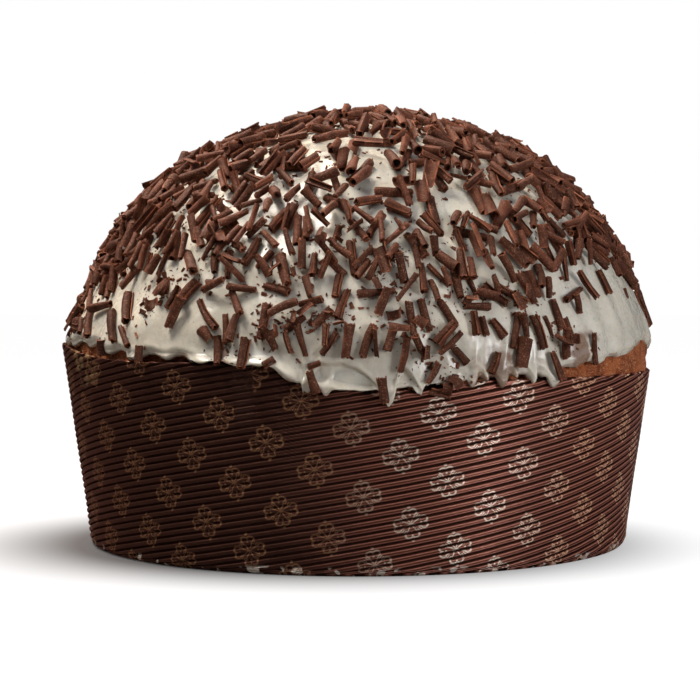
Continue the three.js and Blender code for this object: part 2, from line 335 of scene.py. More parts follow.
def flower_group():
    """The print: a staggered lattice of outlined four-petal flowers with rays and dots, as a mask."""
    group = bpy.data.node_groups.new("flower_print", "ShaderNodeTree")
    group.interface.new_socket("Map", in_out="INPUT", socket_type="NodeSocketVector")
    group.interface.new_socket("Lines", in_out="OUTPUT", socket_type="NodeSocketFloat")
    entry = group.nodes.new("NodeGroupInput")
    result = group.nodes.new("NodeGroupOutput")
    split = node(group, "ShaderNodeSeparateXYZ", entry.outputs[0])
    s = plus(times(split.outputs[0], PRINT_GIRTH), PRINT_SHIFT)
    h = minus(split.outputs[1], PRINT_MIDDLE)
    cosine, sine = math.cos(PRINT_SLANT), math.sin(PRINT_SLANT)
    along = plus(times(s, cosine), times(h, sine))
    up = minus(times(h, cosine), times(s, sine))
    step_a = PRINT_GIRTH * cosine / PLACES_ROUND
    step_b = PRINT_GIRTH * sine / ROWS_CLIMBED
    a = sums("DIVIDE", along, step_a)
    b = sums("DIVIDE", up, step_b)
    p = sums("ROUND", times(plus(a, b), 0.5))
    q = sums("ROUND", times(minus(a, b), 0.5))
    x = sums("ABSOLUTE", times(minus(a, plus(p, q)), step_a))
    y = sums("ABSOLUTE", times(minus(b, minus(p, q)), step_b))
    y = times(y, FLOWER_WIDER)
    # Folding the flower on its diagonal leaves one half petal to draw: far along it, near across it.
    far = greatest(x, y)
    near = sums("MINIMUM", x, y)

    def away_from(px, py, at_x, at_y):
        dx = minus(px, at_x)
        dy = minus(py, at_y)
        return sums("SQRT", plus(times(dx, dx), times(dy, dy)))

    def line(distance, width):
        return between(distance, width * 0.5, width * 1.2, 1.0, 0.0)

    # One lobe of a heart-shaped petal, its side running in to the flower's middle, a ray and the dots.
    lobe = sums("ABSOLUTE", minus(away_from(far, near, LOBE_OUT, LOBE_ASIDE), LOBE_RADIUS))
    outside = greatest(between(far, 4.05, LOBE_OUT), between(near, 0.95, 1.1))
    lobe = times(line(lobe, LOBE_LINE), times(outside, between(far, 3.1, 3.3)))
    side = minus(near, minus(times(far, PETAL_SIDE_SLOPE), 0.1))
    side = line(sums("ABSOLUTE", side), PETAL_SIDE_LINE)
    side = times(side, between(far, 3.2, 3.4, 1.0, 0.0))
    ray = sums("ABSOLUTE", minus(far, near, 0.55))
    reach = plus(far, near)
    ray = times(line(ray, RAY_LINE), between(reach, RAY_START, RAY_START + 0.2))
    ray = times(ray, between(reach, RAY_END, RAY_END + 0.2, 1.0, 0.0))
    heart_dot = line(away_from(far, near, HEART_DOT_OUT, 0.0), HEART_DOT)
    lone_dot = line(away_from(x, y, 0.0, LONE_DOT_OUT), LONE_DOT)
    fill(result.inputs[0], greatest(lobe, side, ray, heart_dot, lone_dot))
    return group


# Colours of the paper: its brown, painted highlight and shade across the flutes, painted shade left of the
# front and near the right edge, and what wear and stains make of it.
PAPER_DARK, PAPER_LIGHT = (0.09, 0.0225, 0.0095), (0.15, 0.041, 0.0175)
# Painted light on the flutes: a pink highlight on the crests' edges, painted shade down the crests' middles
# and in the grooves.
FLUTE_EDGE_HIGHLIGHT, FLUTE_CREASE_SHADE, FLUTE_GROOVE_SHADE = (0.52, 0.21, 0.155), (0.03, 0.0115, 0.0075), (0.032, 0.0125, 0.0085)
# Painted shade: the dark brown left of the front, and the dark stripe near the right edge.
LEFT_SIDE_SHADE, EDGE_STRIPE_SHADE = (0.013, 0.005, 0.0026), (0.008, 0.0035, 0.002)
SYRUP_RUN, TORN_FIBRE, SUGAR_SPECK = (0.008, 0.004, 0.003), (0.3, 0.21, 0.11), (0.62, 0.58, 0.5)
# The gold's colours are painted light: bright in the panel's sheen, deeper to the right, dull brown in the
# shade on the left.
GOLD_IN_PAINTED_HIGHLIGHT, GOLD_PAINTED_DEEPER_RIGHT, GOLD_IN_PAINTED_SHADE = (1, 0.92, 0.76), (0.86, 0.5, 0.3), (0.29, 0.15, 0.074)
DEGREE = 1 / 360

paper, tree, shader, place = material("fluted_paper")
printed = tree.nodes.new("ShaderNodeUVMap")
printed.uv_map = "print"
flowers = tree.nodes.new("ShaderNodeGroup")
flowers.node_tree = flower_group()
fill(flowers.inputs[0], printed.outputs[0])
turns, rise = node(tree, "ShaderNodeSeparateXYZ", printed.outputs[0]).outputs[:2]
wave = minus(sums("DIVIDE", rise, FLUTE_RISE), times(turns, FLUTES_PER_TURN))
wave = plus(wave, FLUTE_START)
# Across each flute, off is 0 on its crest and 0.5 in the groove. The crest is flat; a highlight is painted
# along its two edges, and shade down its middle and in the groove.
off = sums("ABSOLUTE", minus(wave, sums("ROUND", wave)))
groove = between(off, 0.29, 0.39)
edges = band(off, 0.1, 0.19, 0.22, 0.3)
wear = noise_value(place, 900, 4, 0.6)
mottle = noise_value(place, 60, 3, 0.6)
brown = tint(between(mottle, 0.3, 0.7), PAPER_DARK, PAPER_LIGHT)
brown = tint(times(edges, 0.75), brown, FLUTE_EDGE_HIGHLIGHT)
crest_middle_shade = between(off, 0.04, 0.12, 0.6, 0.0)
brown = tint(crest_middle_shade, brown, FLUTE_CREASE_SHADE)
# Left of the front the strip lies double; all of it there is painted darker and duller as shade, and its
# print is painted dull brown as shade.
painted_shade_left = minus(1.0, between(turns, -16 * DEGREE, 13 * DEGREE))
brown = tint(times(painted_shade_left, 0.9), brown, LEFT_SIDE_SHADE)
spill = band(turns, -22.4 * DEGREE, -22 * DEGREE, -18.6 * DEGREE, -18 * DEGREE)
spill = times(spill, between(plus(rise, times(mottle, 6)), 47, 51))
brown = tint(times(spill, 0.8), brown, SYRUP_RUN)
brown = tint(groove, brown, FLUTE_GROOVE_SHADE)
# A dark stripe near the right edge, low on the wall, is painted shade.
edge_stripe = band(turns, 73.5 * DEGREE, 75 * DEGREE, 84 * DEGREE, 87 * DEGREE)
edge_stripe = times(edge_stripe, band(rise, 8, 14, 42, 48))
brown = tint(times(edge_stripe, 0.7), brown, EDGE_STRIPE_SHADE)
scrap = noise_value(place, 260, 1, 0.5)
torn = band(turns, -68 * DEGREE, -65 * DEGREE, -58 * DEGREE, -55 * DEGREE)
torn = times(torn, between(rise, 56, 60), between(scrap, 0.52, 0.56))
brown = tint(times(torn, 0.85), brown, TORN_FIBRE)
foot = times(between(rise, 2.0, 3.4, 1.0, 0.0), between(scrap, 0.61, 0.64))
brown = tint(foot, brown, SUGAR_SPECK)
# The gold lies on the crests, broken where the paper is worn; in the painted shade left of the front it runs
# on through the grooves.
gilt = greatest(between(off, 0.29, 0.4, 1.0, 0.0), times(painted_shade_left, 0.7))
gilt = times(gilt, between(wear, 0.32, 0.42), minus(1.0, times(crest_middle_shade, 0.6)))
ink = times(flowers.outputs[0], gilt, minus(1.0, times(spill, 0.9)))
# The gold is painted bright where the panel's sheen falls, deeper further right and dull brown left of the
# front: painted highlight and shade.
gold = tint(between(turns, 24 * DEGREE, 46 * DEGREE), GOLD_IN_PAINTED_HIGHLIGHT, GOLD_PAINTED_DEEPER_RIGHT)
gold = tint(between(turns, -8 * DEGREE, 20 * DEGREE, 1.0, 0.0), gold, GOLD_IN_PAINTED_SHADE)
# The grooves and the middles of the crests are painted dark as shade, and made metallic so that they stay
# dark however the light falls.
metal = times(groove, minus(0.95, times(ink, 0.85)))
metal = greatest(metal, times(ink, 0.1), times(crest_middle_shade, minus(1.0, ink)))
fibres = plus(minus(times(edges, 0.7), times(groove, 1.2)), times(wear, 0.5))
dress(
    shader,
    Base_Color=tint(ink, brown, gold),
    Metallic=greatest(metal, times(painted_shade_left, 0.64)),
    Roughness=plus(between(wear, 0.2, 0.8, 0.3, 0.4), times(painted_shade_left, 0.16), times(groove, 0.4)),
    IOR=1.85,
    Specular_IOR_Level=0.8,
    Specular_Tint=(1, 0.47, 0.37, 1),
    Normal=relief(fibres, 0.8, 0.00018),
)
case.data.materials.append(paper)
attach(case, "root")
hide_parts("paper_case")


# Loaf: the browned crust, which bulges over the rim. It shows as a strip between paper and glaze,
# reddish brown and torn like fibre where the glaze stopped short.
DOME_CENTRE = 72
LOAF_RADIUS = 98.6
LOAF_RISE = 77.6
SWELL = 3
SWELL_SPREAD = 11
GAP = 0.3
GLAZE = 2


def dome_lumps(angle, steep):
    turn, down = np.radians(angle), np.radians(steep)
    wide = 0.9 * np.sin(2 * turn + 1.1) * np.sin(down) ** 2
    small = 0.6 * np.sin(5 * turn + 3 * down) * np.sin(2 * down)
    lean = 1.6 * np.sin(turn) * np.sin(down)
    return (wide + small + lean) * (1 - 0.75 * ease(70, 90, steep))


def dome(angle, steep, over):
    """Radius and height at steep degrees from the top, for a skin that lies over the loaf."""
    down = np.radians(np.minimum(steep, 90))
    height = DOME_CENTRE + (LOAF_RISE + over) * np.cos(down)
    swell = SWELL * bell(height - DOME_CENTRE, SWELL_SPREAD)
    radius = (LOAF_RADIUS + over) * np.sin(down) + swell
    lump = dome_lumps(angle, steep)
    return radius + lump * np.sin(down), height + lump * np.cos(down) * 0.6


def at(angle, radius, height):
    turn = np.radians(angle)
    return np.stack([radius * np.sin(turn), -radius * np.cos(turn), height + 0 * turn], -1)


LOAF_COLUMNS, LOAF_SIDE, LOAF_DOME = 420, 46, 70
mesh, u, row = wrapped_sheet("loaf_crust", LOAF_COLUMNS, 2 + LOAF_SIDE + LOAF_DOME)
angle = u * 360 - 180
radius, height = np.zeros_like(u), np.full_like(u, PAPER + GAP)
radius[row == 1] = 60
side = (row >= 2) & (row <= 2 + LOAF_SIDE)
share = (row[side] - 2) / LOAF_SIDE
height[side] = 2.5 + (DOME_CENTRE - 2.5) * share
in_cup = wall_radius(height[side]) - PAPER - 1.0
shoulder = dome(angle[side], np.full(side.sum(), 90.0), 0)[0]
radius[side] = np.minimum(in_cup - 0.6 * (1 - ease(0, 8, height[side])), shoulder)
top = row > 2 + LOAF_SIDE
steep = 90 * (1 - (row[top] - 2 - LOAF_SIDE) / LOAF_DOME)
radius[top], height[top] = dome(angle[top], steep, 0)
spots = at(angle, radius, height)
torn = 0.55 * grain(spots, 2.0, 11) + 0.6 * grain(spots, 5.5, 12) + 0.3 * grain(spots, 1.1, 13)
bare = ease(52, 58, height) * (1 - ease(76, 84, height))
domed = ease(78, 100, height)
# Where the glaze stops short at both sides, the crust stands out as far as the glaze does.
sides = bump(angle, -62, 24) + bump(angle, 72, 24)
sunk = 0.35 + 1.5 * domed
fibre = torn - 0.75 + 2.1 * sides * (1 - ease(71, 75, height))
radius = radius + fibre * bare - sunk * (1 - bare) * (radius > 1)
height = height - 1.5 * domed
# Syrup soaked the crust and shines where the glaze meets the rim left of the front.
soaked = bump(angle, -29, 8) * ease(70, 67, height) + bump(angle, 13, 4) * ease(68, 64, height)
write_value(mesh, "wet", np.clip(soaked, 0, 1))
crust_piece = close_sheet(mesh, angle, radius, height)
# The crust is painted lighter on its raised torn fibres, partly as painted highlight, and darker in the
# bump's pits as painted shade.
CRUST_DARK, CRUST_LIGHT, CRUST_TORN_AND_HIGHLIGHT = (0.24, 0.052, 0.016), (0.48, 0.135, 0.045), (0.62, 0.3, 0.15)
CRUST_PIT_SHADE, CRUST_SYRUP = (0.028, 0.007, 0.004), (0.05, 0.007, 0.004)
crust, tree, shader, place = material("browned_crust")
wet = times(written_value(tree, "wet"), 0.8)
stretched = node(tree, "ShaderNodeMapping", place, None, None, (1, 1, 2.2)).outputs[0]
fine = noise_value(stretched, 900, 6, 0.7)
broad = noise_value(place, 160, 4, 0.6)
baked = tint(between(broad, 0.35, 0.65), CRUST_DARK, CRUST_LIGHT)
baked = tint(between(fine, 0.48, 0.66), baked, CRUST_TORN_AND_HIGHLIGHT)
baked = tint(between(fine, 0.3, 0.44, 1.0, 0.0), baked, CRUST_PIT_SHADE)
dress(
    shader,
    Base_Color=tint(wet, baked, CRUST_SYRUP),
    Roughness=times(between(fine, 0.3, 0.7, 0.45, 0.8), minus(1.0, wet)),
    Specular_IOR_Level=0.12,
    Normal=relief(fine, 1.0, 0.0009),
)
crust_piece.data.materials.append(crust)
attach(crust_piece, "root")
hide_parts("loaf")


# Glaze: a thick cream-white skin with soft folds that ran down while it set. Its edge is a round lip
# that stops above the rim at the sides, lies on the rim left of the front, and hangs over it in runs.
def glaze_edge(angle):
    runs = 0.5 * np.sin(9 * np.radians(angle) + 0.4) + 0.4 * np.sin(17 * np.radians(angle))
    falls = -6.8 * bump(angle, 2, 17) - 0.9 * bump(angle, 32, 12)
    stays = 7.0 * bump(angle, -64, 28) + 8.0 * bump(angle, 73, 18) + 2.4 * bump(angle, 165, 30)
    return np.maximum(66 + runs + falls + stays, rim_height(angle) + 0.5) + 1.3 * bump(angle, -29, 8)


# Each run: angle, half width in degrees, how far its tip hangs under the edge, how far above it its ridge
# starts. The runs on the back are spread by a rule.
RUNS = [
    (-12.4, 1.6, 1.6, 9), (-8.7, 0.7, 2.4, 14), (-5.6, 0.7, 2.2, 7), (10.0, 0.9, 2.6, 9),
    (16.2, 0.8, 1.6, 7), (19.4, 0.8, 2.9, 10), (22.0, 0.5, 1.9, 6), (24.9, 1.1, 4.0, 14),
    (27.6, 0.5, 1.7, 6), (31.2, 0.6, 3.4, 9), (35.8, 1.6, 5.0, 20), (42.0, 1.2, 0.4, 12),
    (49.0, 2.4, 0.9, 18), (59.0, 2.6, 0.8, 22), (64.5, 1.6, 0.6, 24), (71.0, 1.8, 0.6, 20),
    (-20.5, 2.0, 0.5, 18), (-28.0, 2.2, 0.9, 22), (-36.0, 2.0, 1.0, 24), (-44.0, 2.0, 1.6, 18),
    (-52.0, 1.7, 1.2, 14), (-60.5, 2.2, 1.6, 16), (-70.0, 2.0, 1.2, 12), (-79.0, 2.4, 2.0, 14),
]
BACK_RUNS = 20
source = random.Random(3)
for i in range(BACK_RUNS):
    centre = 74 + 200 * (i + 0.8 * source.random()) / BACK_RUNS
    RUNS.append((centre, source.uniform(0.8, 2.4), source.uniform(0.6, 3.6), source.uniform(6, 18)))


def hanging(angle):
    """How far the edge hangs lower because of the runs, in millimetres."""
    deep = np.zeros_like(angle)
    for centre, half, drop, _ in RUNS:
        turn = np.abs((angle - centre + 180) % 360 - 180)
        deep = np.maximum(deep, drop * np.exp(-((turn / half) ** 2.4)))
    return deep


def ridges(angle, above):
    """The thicker tongues that lead down to the runs, by height above the edge."""
    raised = np.zeros_like(angle)
    for centre, half, drop, reach in RUNS:
        wander = 0.5 * half * np.sin(above / 5 + centre)
        turn = (angle - centre - wander + 180) % 360 - 180
        width = (0.9 + 0.05 * np.clip(above, 0, 20)) * half
        tongue = bell(turn, width) * ease(reach * 1.2, reach * 0.3, above)
        raised = np.maximum(raised, (0.55 + 0.22 * min(drop, 3)) * tongue)
    return raised


# The last coat stops short in front: its border falls from the left to a long tip and climbs steeply again.
COAT_ANGLES = (-9.5, -6.7, -3.0, -0.5, 1.7, 3.4, 4.9, 5.7, 6.6, 7.6, 9.0, 10.4)
COAT_HEIGHTS = (58.5, 66.6, 66.6, 65.0, 62.4, 58.8, 54.2, 56.0, 62.5, 65.5, 63.0, 58.0)
COAT = 1.1
COAT_ON_PAPER = 1.7


def coat_border(angle):
    return np.interp(angle, COAT_ANGLES, COAT_HEIGHTS, left=0, right=0)


GLAZE_COLUMNS, TOP_ROWS, SKIRT_ROWS, LIP_ROWS, UNDER_ROWS = 760, 72, 32, 6, 8
FRONT_CLOSER = 0.5
mesh, u, row = wrapped_sheet("glaze_skin", GLAZE_COLUMNS, TOP_ROWS + SKIRT_ROWS + LIP_ROWS + UNDER_ROWS)
# The columns stand closer together in front, where the glaze's edge is finest.
angle = 360 * (u - 0.5) - FRONT_CLOSER * 180 / np.pi * np.sin(2 * np.pi * (u - 0.5))
ring = at(angle, 105.0, 0.0)
edge = glaze_edge(angle) - hanging(angle) + 0.6 * grain(ring, 7, 21) + 0.2 * grain(ring, 2.6, 22)
border = coat_border(angle)
edge = np.where(border > 0, np.minimum(edge, border), edge)
last = TOP_ROWS + SKIRT_ROWS
on_top = row <= TOP_ROWS
# Where the edge lies above the shoulder, the skin's dome ends above it too.
end_steep = 90 - np.degrees(np.arcsin(np.clip(edge + 2.5 - DOME_CENTRE, 0, 40) / (LOAF_RISE + GLAZE + GAP)))
steep = np.where(on_top, end_steep * row / TOP_ROWS, end_steep)
radius, height = dome(angle, steep, GLAZE + GAP)
spots = at(angle, radius, height)
# The folds run downhill: the noise is squeezed round the axis and long along the slope.
downhill = np.stack([np.sin(np.radians(angle)) * 14, -np.cos(np.radians(angle)) * 14, steep / 90 * 2.2], 1)
folds = grain(downhill, 1.0, 23) * ease(18, 60, steep) * (1 + 1.6 * bump(angle, 44, 18))
pools = grain(spots, 26, 24)
ripples = grain(spots, 9, 25)
flanks = 1.2 * bump(angle, -100, 48) + 0.8 * bump(angle, 95, 45)
flanks = flanks * ease(18, 34, steep) * (1 - ease(66, 82, steep))
thick = 0.75 * folds + 0.8 * pools + 0.5 * ripples - 1.9 * ease(85, 62, steep) - flanks
drop = np.clip(row - TOP_ROWS, 0, SKIRT_ROWS) / SKIRT_ROWS
height = np.where(on_top, height, height + (edge - height) * drop)
thick = thick + ridges(angle, np.maximum(height - edge, 0)) * ease(60, 82, steep)
over_border = height - border - 0.5 * grain(spots, 6, 28)
thin_coat = np.where(border > 0, 1 - ease(-0.3, 1.1, over_border), 0)
thick = thick - 0.7 * (bump(angle, -62, 22) + bump(angle, 76, 22)) * bell(height - edge, 3.5)
coat_roll = np.where(border > 0, bell(over_border - 1.3, 1.1), 0)
thick = thick - COAT * thin_coat + 0.4 * coat_roll
# On the far left the rim's tip stands clear of the glaze.
rides = 1 - np.clip(1.4 * bump(angle, -86, 24), 0, 1)
over_rim = rides * ease(3.5, 0.2, height - rim_height(angle))
lip_swell = 0.9 * bell(height - edge - 1.8, 1.8) * (1 - 0.7 * thin_coat)
over_paper = np.maximum(radius, wall_radius(height) + COAT_ON_PAPER)
skirt = np.where(on_top, 0, (1 - over_rim) * radius + over_rim * over_paper)
radius = np.where(on_top, radius + thick * np.sin(np.radians(steep)), skirt + thick * (1 - over_rim))
height = np.where(on_top, height + thick * np.cos(np.radians(steep)), height)
radius = radius + lip_swell * ease(60, 88, steep)

under = row > last
inner_radius = dome(angle, np.full_like(angle, 90.0), GAP)[0]
on_rim = (edge < rim_height(angle) + 2.0) & (rides > 0.5)
inner_radius = np.where(on_rim, np.maximum(inner_radius, wall_radius(edge) + 0.45), inner_radius)
lip = under & (row <= last + LIP_ROWS)
turn = (row[lip] - last) / LIP_ROWS * np.pi
edge_rides = rides * ease(3.5, 0.2, edge - rim_height(angle))
free_edge = dome(angle, np.full_like(angle, 90.0), GLAZE + GAP)[0] + thick
outer_at_edge = (1 - edge_rides) * free_edge + edge_rides * (wall_radius(edge) + COAT_ON_PAPER)
outer_at_edge = np.maximum(outer_at_edge + 0.32, inner_radius + 0.8)
middle = 0.5 * (outer_at_edge + inner_radius)
half = 0.5 * (outer_at_edge - inner_radius)
radius[lip] = middle[lip] + half[lip] * np.cos(turn)
height[lip] = edge[lip] - 0.75 * half[lip] * np.sin(turn)
inner = row > last + LIP_ROWS
back = (row[inner] - last - LIP_ROWS) / UNDER_ROWS
inner_r, inner_z = dome(angle[inner], 90 * (1 - back), GAP - 0.2)
radius[inner], height[inner] = inner_r, inner_z
radius[row == row.max()] = 0
radius[row == 0] = 0
height[row == 0] = height[row == 0].mean()

# Where the glaze is thin, low on the right and at the edges, the crust shows through; low at the front right
# the same brown is also painted as shade.
thin_and_shade = 2.2 * bump(angle, 44, 5) * bell(height - 71, 6)
thin_and_shade = thin_and_shade + 1.6 * bump(angle, 29, 9) * ease(78, 68, height)
thin_and_shade = 0.6 * thin_and_shade * ease(-0.5, 0.6, grain(spots, 5, 26)) + 0.25 * bump(angle, 13, 5) * ease(90, 80, height)
thin_and_shade = thin_and_shade + 0.8 * ease(1.1, 0.2, height - edge) * ease(-0.2, 0.5, grain(ring, 9, 27))
write_value(mesh, "thin_and_shade", np.clip(thin_and_shade, 0, 1))
skin = close_sheet(mesh, angle, radius, height)

CREAM_DARK, CREAM_LIGHT = (0.6, 0.55, 0.45), (0.68, 0.635, 0.535)
CRUST_UNDER_GLAZE_AND_SHADE, DUST = (0.2, 0.1, 0.06), (0.12, 0.05, 0.03)
glaze, tree, shader, place = material("white_glaze")
fine = noise_value(place, 420, 4, 0.6)
broad = noise_value(place, 45, 3, 0.55)
cream = tint(between(broad, 0.35, 0.7), CREAM_DARK, CREAM_LIGHT)
# The crust's brown shows through thin glaze, and also stands for painted shade low at the front right.
crust_and_shade = between(plus(written_value(tree, "thin_and_shade"), times(fine, 0.8)), 0.62, 1.15)
cream = tint(times(crust_and_shade, 0.85), cream, CRUST_UNDER_GLAZE_AND_SHADE)
dust = between(noise_value(place, 1500, 2, 0.5), 0.7, 0.74)
dents = plus(times(fine, 0.12), noise_value(place, 130, 2, 0.5))
dress(
    shader,
    Base_Color=tint(times(dust, 0.75), cream, DUST),
    Roughness=between(fine, 0.3, 0.7, 0.2, 0.36),
    Subsurface_Weight=0.25,
    Subsurface_Radius=(1.0, 0.75, 0.5),
    Subsurface_Scale=0.0018,
    Normal=relief(dents, 0.4, 0.0016),
)
skin.data.materials.append(glaze)
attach(skin, "root")
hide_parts("glaze")


# Chocolate curls: shavings that rolled up as they were scraped, hollow, with ragged ends. The largest
# lie where the part has them; the rest fill in between and on top, and broken ones are wide and open.
CURL_COUNT = 222
CURL_SHARE = 0.95
CURL_LENGTH = (8.5, 13)
CURL_RADIUS = (1.35, 1.8)
CURL_LOWEST = 0.1
CURL_PATCHES = [
    (-50, 68, 9, -0.6), (60, 70, 12, -0.4), (-62, 50, 18, 0.3), (44, 42, 18, 0.3),
    (-150, 74, 22, -0.4), (140, 78, 18, -0.5),
]
# Low on the front the curls are few, and each has its place: angle, degrees from the top, heading,
# length, radius. 43 of the 62 are in the part too.
FRONT_LEFT, FRONT_RIGHT, FRONT_TOP = -66, 82, 73
FRONT_CURLS = [
    (-61, 85, 33, 12.5, 1.5), (-51, 86, 30, 12, 1.45), (-48.5, 81.5, 32, 12, 1.8),
    (-51.5, 74.5, 0, 8.5, 1.3), (-58, 81.5, -73, 10, 1.5), (-46.5, 88, 48, 9.5, 1.3),
    (-41, 91.5, 6, 5, 1.6), (-36.5, 79, -14, 8, 1.15), (-33, 77.5, -37, 8.5, 1.8),
    (-34, 83, -24, 10.5, 1.6), (-28, 83, 41, 12.5, 1.3), (-24.5, 90.5, 10, 9, 1.4),
    (-23.5, 86, 10, 9.5, 1.3), (-22, 86, -3, 9, 1.3), (-19.5, 91, -3, 9.5, 1.55),
    (-16.5, 84.5, -5, 11.5, 1.55), (-22, 80.5, 34, 10.5, 1.3), (-21.5, 77, 87, 9, 1.3),
    (-27, 76.5, -75, 10, 1.3), (-15, 77, 73, 9, 1.3), (-3, 80.5, -17, 10, 1.4), (3, 78, -85, 11.5, 1.3),
    (-8.5, 80, -77, 7.5, 1.4), (-13, 82, -65, 9.5, 1.4), (-11, 85, -57, 7.5, 1.25),
    (-15, 88, 32, 8.5, 1.3), (-12, 89, 15, 7, 1.1), (-2, 88.5, -7, 10.5, 1.7),
    (1.5, 88.5, -21, 10.5, 1.4), (9, 84, 5, 11, 1.4), (11.5, 83, 12, 10, 1.4),
    (11.5, 74.5, -3, 10.5, 1.3), (14.5, 74, 44, 9, 0.95), (15.5, 82.5, 28, 9, 1.3),
    (14.5, 87, -43, 8.5, 1.8), (18, 75.5, 4, 10.5, 1.3), (-5, 89, -34, 8, 1.1), (-7.5, 93, -70, 4, 1.1),
    (-7.5, 96, 18, 7, 1.5), (4, 97.5, 9, 8, 1.4), (-15, 92.5, -59, 4, 1.2), (12.5, 94.5, -30, 7, 1.25),
    (17.5, 91.5, 42, 6, 1.4), (21, 81, 90, 9, 1.3), (20, 85, 6, 7.5, 1.4), (22, 85.5, 9, 6, 1.3),
    (25, 78.5, 44, 9.5, 1.4), (28.5, 78.5, 59, 11, 1.3), (32, 77, 17, 11, 1.3), (34, 76, 10, 9, 1.3),
    (21, 76.5, 16, 7.5, 1.1), (28, 86.5, -20, 11.5, 1.3), (32.5, 87, 14, 11, 1.4),
    (35.5, 85.5, 12, 6.5, 0.9), (38, 83, 8, 10, 1.4), (38.5, 89.5, 9, 9.5, 1.4),
    (35.5, 93.5, 21, 9.5, 1.4), (43.5, 78.5, -67, 10, 1.3), (47, 76.5, 37, 11, 1.3),
    (54.5, 75.5, 6, 8.5, 1.3), (66.5, 78, -16, 3.5, 0.9), (74, 74, 5, 8, 1.6),
]
PART_FRONT_CURLS = 43
GOLDEN = 180 * (3 - math.sqrt(5))


def curl_chance(angle, steep, patches, fall=0.55):
    chance = 1 - fall * float(ease(48, 84, steep))
    for centre, height, spread, change in patches:
        turn = (angle - centre + 180) % 360 - 180
        away = math.hypot(turn * math.sin(math.radians(steep)), steep - height)
        chance += change * math.exp(-((away / spread) ** 2))
    return chance


def in_front(angle, steep):
    return steep > FRONT_TOP and FRONT_LEFT < angle < FRONT_RIGHT


def stream(state):
    while True:
        state = (state * 1664525 + 1013904223) % 4294967296
        yield state / 4294967296


def large_curls():
    """The large curls: angle, degrees from the top, heading, length, radius and roll."""
    draw = stream(5)
    rolls = [next(draw) for _ in range(PART_FRONT_CURLS)]
    for i, place in enumerate(FRONT_CURLS):
        yield *place, rolls[i % PART_FRONT_CURLS] * 2 * math.pi
    for i in range(CURL_COUNT):
        share = (i + 0.5) / CURL_COUNT
        steep = math.degrees(math.acos(1 - share * (1 - CURL_LOWEST)))
        angle = (i * GOLDEN) % 360 - 180
        if in_front(angle, steep) or next(draw) > curl_chance(angle, steep, CURL_PATCHES) * CURL_SHARE:
            continue
        length = CURL_LENGTH[0] + (CURL_LENGTH[1] - CURL_LENGTH[0]) * (1 - next(draw) ** 1.5)
        radius = CURL_RADIUS[0] + (CURL_RADIUS[1] - CURL_RADIUS[0]) * next(draw)
        wide = 70 if next(draw) < 0.65 else 180
        yield angle, steep, wide * (next(draw) - 0.5), length, radius, next(draw) * 2 * math.pi


skin_tree = BVHTree.FromPolygons(
    [v.co * 1000 for v in skin.data.vertices], [tuple(p.vertices) for p in skin.data.polygons]
)


def smooth_place(angle, steep):
    a, s = np.array([angle]), np.array([steep])
    radius, height = dome(a, s, GLAZE + GAP)
    height = height - np.maximum(s - 90, 0) * 1.72
    return Vector(at(a, radius, height)[0])


def resting_frame(angle, steep, heading):
    """A point on the glaze, the way out of it, and the tangent that the curl lies along."""
    here = smooth_place(angle, steep)
    down = (smooth_place(angle, steep + 0.5) - smooth_place(angle, steep - 0.5)).normalized()
    across = (smooth_place(angle + 0.5, steep) - smooth_place(angle - 0.5, steep)).normalized()
    out = down.cross(across).normalized()
    turn = math.radians(heading)
    along = down * math.cos(turn) + out.cross(down) * math.sin(turn)
    return here, out, along


PROBE_FROM, PROBE_REACH, NOTHING_UNDER = 14, 30, -3.0


def on_skin(point, out):
    """How high the glaze stands over a point, along the way out."""
    hit = skin_tree.ray_cast(point + out * PROBE_FROM, -out, PROBE_REACH)
    return PROBE_FROM - hit[3] if hit[0] else NOTHING_UNDER


laid = []
SUNK_IN = 0.5
ROLLS_NEST = 0.88
STEEPEST_LEAN = 0.42
PRESSED_AT_SIDES = 1.3


def lay(angle, steep, heading, length, radius, highest):
    """Lays a roll on the glaze and on the rolls under it, tilted where one end lies higher."""
    here, out, along = resting_frame(angle, steep, heading)
    half = length / 2
    needs = []
    for t in (-1, -0.5, 0, 0.5, 1):
        point = here + along * half * t
        needs.append((t, on_skin(point, out) + radius - SUNK_IN))
        if point.z < rim_height(angle) + 1:
            on_paper = wall_radius(point.z) - math.hypot(point.x, point.y)
            needs.append((t, on_paper + radius))
    side = out.cross(along)
    for centre, axis, its_half, its_radius in laid:
        gap = centre - here
        if gap.length > half + its_half + radius + its_radius:
            continue
        cx, cy, cz = gap.dot(along), gap.dot(side), gap.dot(out)
        dx, dy, dz = axis.dot(along) * its_half, axis.dot(side) * its_half, axis.dot(out) * its_half
        flat = max(dx * dx + dy * dy, 1e-6)
        for k in range(9):
            t = -1 + k / 4
            px = half * t - cx
            on = max(-1, min(1, (px * dx - cy * dy) / flat))
            apart = math.hypot(px - dx * on, -cy - dy * on)
            reach = (radius + its_radius) * ROLLS_NEST
            if apart < reach:
                needs.append((t, cz + dz * on + math.sqrt(reach * reach - apart * apart)))
    best = None
    for k in range(-8, 9):
        rise = k / 8 * STEEPEST_LEAN * half
        level = max(need - rise * t for t, need in needs)
        cost = level + 0.35 * abs(rise)
        if best is None or cost < best[0]:
            best = (cost, level, rise)
    _, level, rise = best
    if level > highest:
        return None
    # Rolls at both sides are pressed in a little deeper.
    at_sides = (bump(angle, -93, 25) + bump(angle, 93, 25)) * ease(35, 60, steep)
    centre = here + out * (level - PRESSED_AT_SIDES * at_sides)
    axis = (along * half + out * rise).normalized()
    laid.append((centre, axis, half, radius))
    return centre, axis, out


